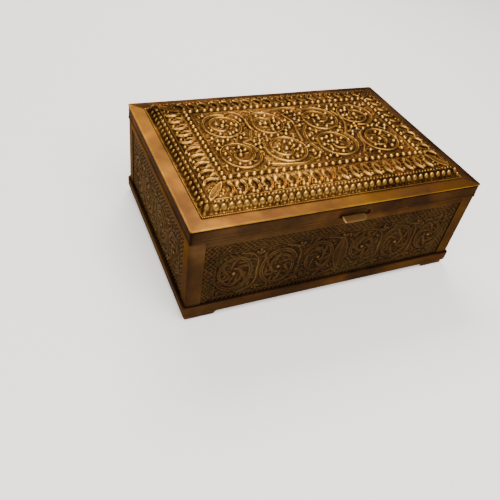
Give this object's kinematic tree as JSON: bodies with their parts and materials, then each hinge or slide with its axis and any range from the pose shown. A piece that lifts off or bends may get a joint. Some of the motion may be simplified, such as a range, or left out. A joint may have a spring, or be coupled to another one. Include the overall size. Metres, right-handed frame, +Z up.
{
  "type": "trinket box",
  "caption": "Rectangular brass-clad wooden trinket box with a hinged, raised repousse lid, scroll-relief sides, thumb lift, plinth and low feet.",
  "frame": {"origin": "middle of the closed box at the table, between the undersides of the feet", "axes": "+X to the right along the front, +Y to the back where the hinges are, +Z up"},
  "size_m": [0.202, 0.1445, 0.0795],
  "materials": {
    "border_brass": "worn polished brass with brown tarnish",
    "relief_brass": "repousse brass, bright on the high points and dark in the recesses",
    "side_bronze": "darkly patinated brass sheet",
    "trim_bronze": "patinated plain brass strip, worn brighter at the edges",
    "hinge_brass": "dull brass",
    "steel": "dull screw heads",
    "cedar": "plain waxed reddish wood, fine grain"
  },
  "bodies": {
    "box": {"front_board": "cedar", "back_board": "cedar", "left_board": "cedar", "right_board": "cedar", "floor_board": "cedar", "bottom_plate": "side_bronze", "front_relief": "side_bronze", "back_relief": "side_bronze", "left_relief": "side_bronze", "right_relief": "side_bronze", "corner_strip_front_left": "trim_bronze", "corner_strip_front_right": "trim_bronze", "corner_strip_back_left": "trim_bronze", "corner_strip_back_right": "trim_bronze", "top_rail_front": "trim_bronze", "top_rail_back": "trim_bronze", "top_rail_left": "trim_bronze", "top_rail_right": "trim_bronze", "plinth_front": "trim_bronze", "plinth_back": "trim_bronze", "plinth_left": "trim_bronze", "plinth_right": "trim_bronze", "foot_front_left": "trim_bronze", "foot_front_right": "trim_bronze", "foot_back_left": "trim_bronze", "foot_back_right": "trim_bronze", "foot_screws": "steel", "body_hinge_leaf_left": "hinge_brass", "body_hinge_leaf_right": "hinge_brass", "hinge_pin_left": "hinge_brass", "hinge_pin_right": "hinge_brass", "body_leaf_screws": "hinge_brass"},
    "lid": {"lid_border_front": "border_brass", "lid_border_back": "border_brass", "lid_border_left": "border_brass", "lid_border_right": "border_brass", "lid_relief": "relief_brass", "lid_milled_wire": "relief_brass", "lid_skirt_front": "trim_bronze", "lid_skirt_back": "trim_bronze", "lid_skirt_left": "trim_bronze", "lid_skirt_right": "trim_bronze", "lid_batten_front": "cedar", "lid_batten_back": "cedar", "lid_batten_left": "cedar", "lid_batten_right": "cedar", "lid_board": "cedar", "thumb_lift": "border_brass", "lid_hinge_leaf_left": "hinge_brass", "lid_hinge_leaf_right": "hinge_brass", "lid_leaf_screws": "hinge_brass"}
  },
  "joints": [
    {"name": "lid_hinge", "type": "hinge", "parent": "box", "child": "lid", "pos_m": [0, 0.0697, 0.0612], "axis": [-1, 0, 0], "range_deg": [0, 105]}
  ]
}
